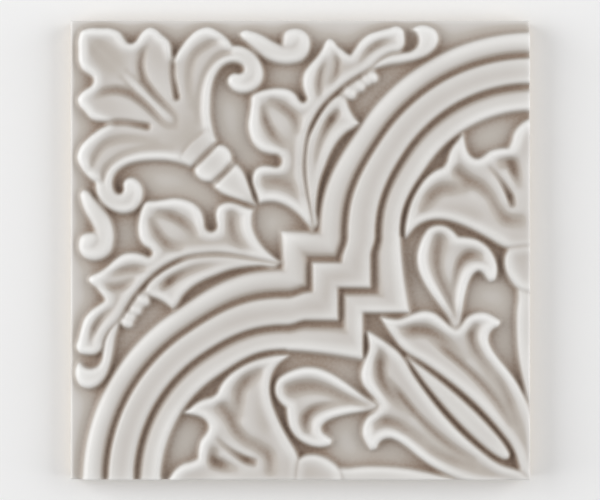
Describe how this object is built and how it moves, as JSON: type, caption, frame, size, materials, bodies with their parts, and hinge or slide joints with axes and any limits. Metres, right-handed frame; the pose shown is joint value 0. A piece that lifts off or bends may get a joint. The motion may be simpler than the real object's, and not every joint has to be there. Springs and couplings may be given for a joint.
{
  "type": "decorative relief wall tile",
  "caption": "Square glazed ceramic wall tile with a moulded quarter quatrefoil, acanthus sprigs and a corner palmette in relief on a flat-backed body.",
  "frame": {"origin": "middle of the flat back, on the surface that the tile lies on", "axes": "+Z out of the back towards the relief face; +X and +Y along the edges, with the palmette's corner at low X and high Y and the quatrefoil's middle at high X and low Y"},
  "size_m": [0.152, 0.152, 0.0117],
  "materials": {
    "warm_grey_glaze": "satin-gloss warm grey glaze, pale on the raised edges and taupe where it pools in the hollows"
  },
  "bodies": {
    "root": {"tile": "warm_grey_glaze"}
  },
  "joints": []
}
